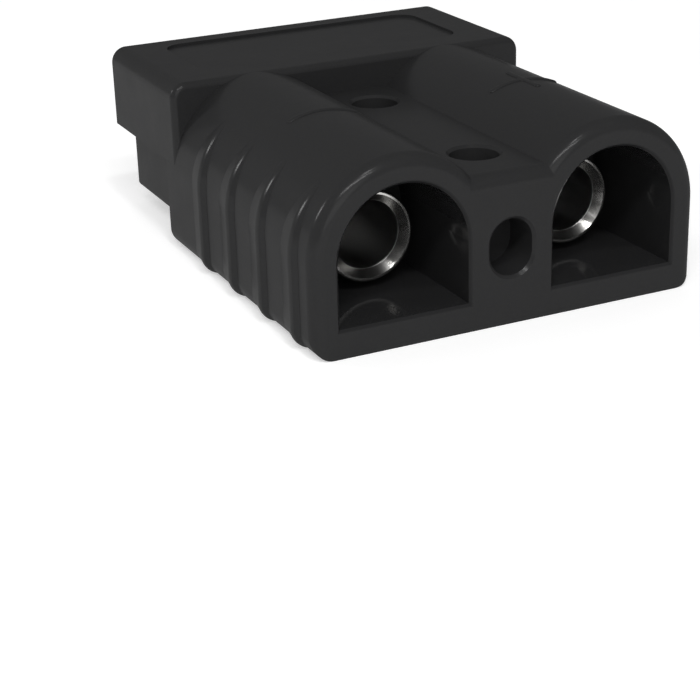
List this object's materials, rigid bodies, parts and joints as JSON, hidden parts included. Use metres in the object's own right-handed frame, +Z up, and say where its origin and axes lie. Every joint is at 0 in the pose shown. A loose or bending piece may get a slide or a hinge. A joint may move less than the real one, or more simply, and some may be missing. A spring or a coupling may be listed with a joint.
{
  "type": "genderless power connector",
  "caption": "Black two-pole genderless battery power connector: arched cable barrels with grip ribs, a front hood over two contact trays, plated crimp contacts on leaf springs.",
  "frame": {"origin": "under the middle of the housing, at bottom centre of the bounding box, on the flat underside it rests on", "axes": "+Z up, away from the flat underside; +Y towards the rear, where the cables enter; -Y towards the mating end; +X towards the negative pole"},
  "size_m": [0.0374, 0.0478, 0.0163],
  "materials": {
    "housing": "fine satin black, slightly glossy on the moulded edges",
    "contact": "silver plated, bright",
    "spring": "stainless strip, lightly brushed"
  },
  "bodies": {
    "root": {"housing": "housing", "contact_positive": "contact", "contact_negative": "contact", "spring_positive": "spring", "spring_negative": "spring"}
  },
  "joints": []
}
